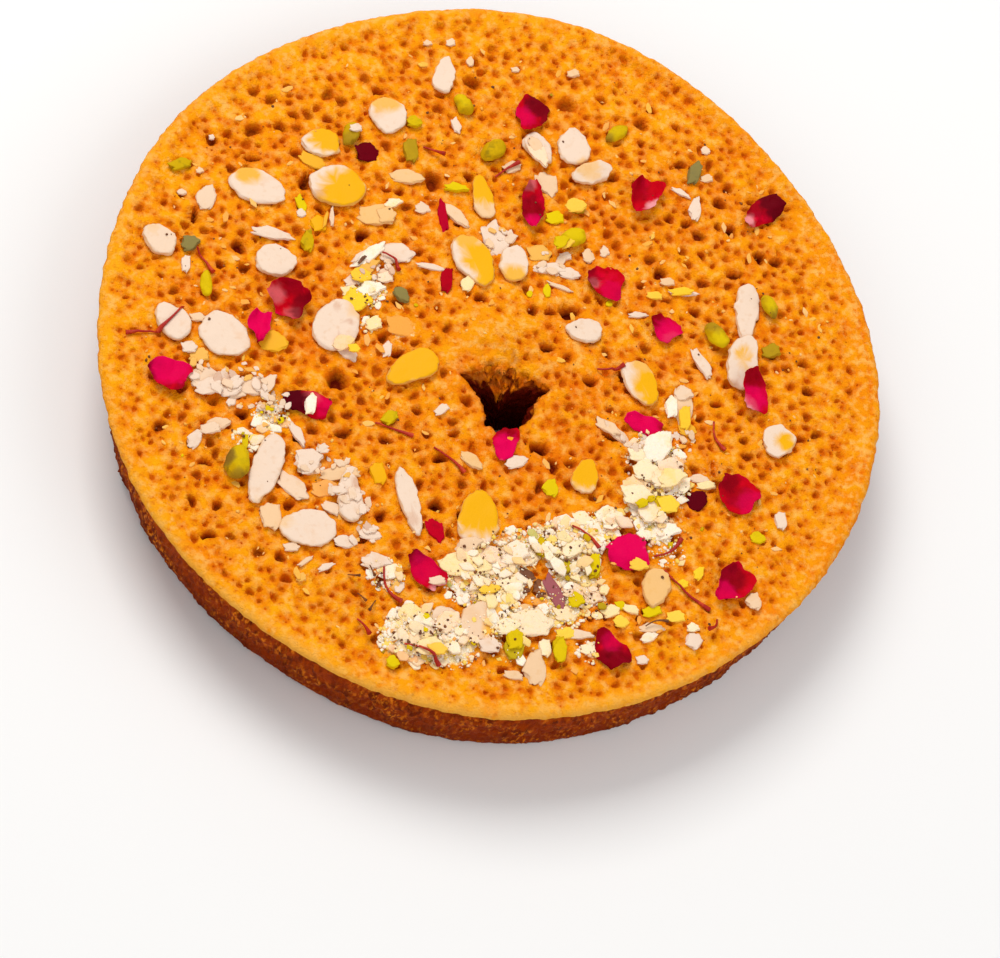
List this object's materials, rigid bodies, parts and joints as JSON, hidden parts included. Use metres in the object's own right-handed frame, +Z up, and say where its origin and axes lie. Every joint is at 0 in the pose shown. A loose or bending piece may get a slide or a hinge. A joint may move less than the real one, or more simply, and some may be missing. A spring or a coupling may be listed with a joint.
{
  "type": "ghewar",
  "caption": "Round deep-fried honeycomb sweet with a small hole near its middle, lying flat and strewn with almond slices, rose petals, pistachio, saffron and white crumbs.",
  "frame": {"origin": "middle of the footprint, on the surface that the sweet lies on", "axes": "+Z up through the disc, +X to the right and +Y away from the viewer as the face is seen from above"},
  "size_m": [0.2298, 0.2312, 0.0354],
  "materials": {
    "crust": "golden orange fried batter, porous, slightly shiny with fat and syrup",
    "almond": "blanched sliced almond, cream white, some stained yellow with saffron",
    "rose_petal": "crimson rose petal, thin and soft, matt",
    "pistachio": "yellow-green pistachio kernel, matt"
  },
  "bodies": {
    "root": {"ghewar": "crust", "almond_slice_01": "almond", "almond_slice_02": "almond", "almond_slice_03": "almond", "almond_slice_04": "almond", "almond_slice_05": "almond", "almond_slice_06": "almond", "almond_slice_07": "almond", "almond_slice_08": "almond", "almond_slice_09": "almond", "almond_slice_10": "almond", "almond_slice_11": "almond", "almond_slice_12": "almond", "almond_slice_13": "almond", "almond_slice_14": "almond", "almond_slice_15": "almond", "almond_slice_16": "almond", "almond_slice_17": "almond", "almond_slice_18": "almond", "almond_slice_19": "almond", "almond_slice_20": "almond", "almond_slice_21": "almond", "almond_slice_22": "almond", "almond_slice_23": "almond", "almond_slice_24": "almond", "almond_slice_25": "almond", "almond_slice_26": "almond", "almond_slice_27": "almond", "almond_slice_28": "almond", "almond_slice_29": "almond", "almond_slice_30": "almond", "almond_slice_31": "almond", "rose_petal_01": "rose_petal", "rose_petal_02": "rose_petal", "rose_petal_03": "rose_petal", "rose_petal_04": "rose_petal", "rose_petal_05": "rose_petal", "rose_petal_06": "rose_petal", "rose_petal_07": "rose_petal", "rose_petal_08": "rose_petal", "rose_petal_09": "rose_petal", "rose_petal_10": "rose_petal", "rose_petal_11": "rose_petal", "rose_petal_12": "rose_petal", "rose_petal_13": "rose_petal", "rose_petal_14": "rose_petal", "rose_petal_15": "rose_petal", "rose_petal_16": "rose_petal", "rose_petal_17": "rose_petal", "rose_petal_18": "rose_petal", "pistachio_01": "pistachio", "pistachio_02": "pistachio", "pistachio_03": "pistachio", "pistachio_04": "pistachio", "pistachio_05": "pistachio", "pistachio_06": "pistachio", "pistachio_07": "pistachio", "pistachio_08": "pistachio", "pistachio_09": "pistachio"}
  },
  "joints": []
}
